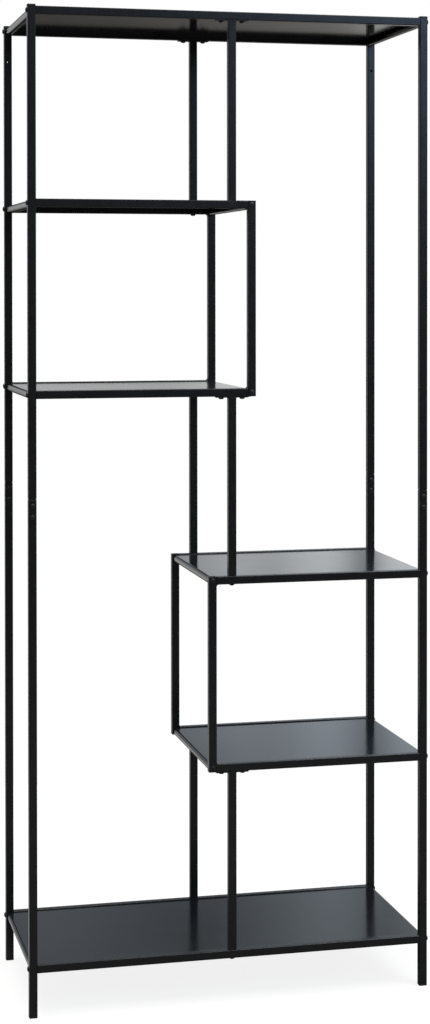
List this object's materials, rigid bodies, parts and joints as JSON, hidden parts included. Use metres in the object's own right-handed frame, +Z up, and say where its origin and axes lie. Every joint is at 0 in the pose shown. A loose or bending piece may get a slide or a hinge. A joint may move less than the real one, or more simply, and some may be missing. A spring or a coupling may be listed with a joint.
{
  "type": "zigzag bookshelf",
  "caption": "Tall open bookshelf of slim black square tube: half-width shelf boxes step from upper left to lower right between full-width top and bottom shelves.",
  "frame": {"origin": "floor level, midway between the four posts", "axes": "+Z up, front towards -Y, +X to the right as seen from the front"},
  "size_m": [0.766, 0.378, 1.85],
  "materials": {
    "frame_tube": "satin black powder coat",
    "shelf_sheet": "smooth semi-gloss black coat",
    "screws": "black oxide screws and bolts",
    "inner_steel": "plain zinc-plated steel, hidden",
    "end_plugs": "matt black plastic"
  },
  "bodies": {
    "root": {"bottom_divider_front": "frame_tube", "bottom_divider_rear": "frame_tube", "bottom_front_rail": "frame_tube", "bottom_panel": "shelf_sheet", "bottom_rear_rail": "frame_tube", "box_end_screws": "screws", "box_plugs": "end_plugs", "divider_bolts": "screws", "foot_plugs": "end_plugs", "front_left_post_lower": "frame_tube", "front_left_post_upper": "frame_tube", "front_right_post_lower": "frame_tube", "front_right_post_upper": "frame_tube", "joiner_screws": "screws", "left_box_post_front": "frame_tube", "left_box_post_rear": "frame_tube", "left_lower_front_rail": "frame_tube", "left_lower_panel": "shelf_sheet", "left_lower_rear_rail": "frame_tube", "left_upper_front_rail": "frame_tube", "left_upper_panel": "shelf_sheet", "left_upper_rear_rail": "frame_tube", "middle_divider_front": "frame_tube", "middle_divider_rear": "frame_tube", "plate_screws": "screws", "post_caps": "end_plugs", "post_joiners": "inner_steel", "rear_left_post_lower": "frame_tube", "rear_left_post_upper": "frame_tube", "rear_right_post_lower": "frame_tube", "rear_right_post_upper": "frame_tube", "right_box_post_front": "frame_tube", "right_box_post_rear": "frame_tube", "right_lower_front_rail": "frame_tube", "right_lower_panel": "shelf_sheet", "right_lower_rear_rail": "frame_tube", "right_upper_front_rail": "frame_tube", "right_upper_panel": "shelf_sheet", "right_upper_rear_rail": "frame_tube", "rivet_nuts": "inner_steel", "shelf_bolts": "screws", "threaded_inserts": "inner_steel", "top_divider_front": "frame_tube", "top_divider_rear": "frame_tube", "top_front_rail": "frame_tube", "top_panel": "shelf_sheet", "top_rear_rail": "frame_tube"}
  },
  "joints": []
}
